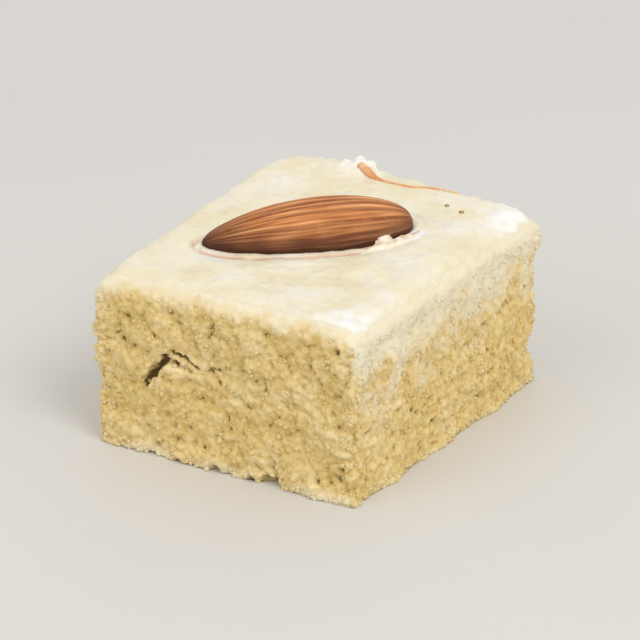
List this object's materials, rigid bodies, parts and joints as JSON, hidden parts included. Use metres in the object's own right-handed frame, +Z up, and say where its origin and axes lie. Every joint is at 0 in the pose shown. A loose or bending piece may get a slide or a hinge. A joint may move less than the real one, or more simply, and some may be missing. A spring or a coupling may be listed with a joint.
{
  "type": "barfi",
  "caption": "Barfi: a cut square of crumbly milk fudge with silver leaf over its top and an almond pressed into it, to stand on a plate or counter.",
  "frame": {"origin": "centre of the flat underside of the whole part", "axes": "+Z up; +X along the longer side of the square; the corner at -X, -Y is the front one in the picture"},
  "size_m": [0.0394, 0.0332, 0.0232],
  "materials": {
    "milk_fudge": "crumbly, matte, slightly translucent",
    "almond_skin": "ridged papery skin, satin",
    "silver_leaf": "thin edible silver leaf over cream, soft metallic sheen"
  },
  "bodies": {
    "root": {"barfi_block": "milk_fudge", "almond": "almond_skin", "silver_leaf": "silver_leaf"}
  },
  "joints": []
}
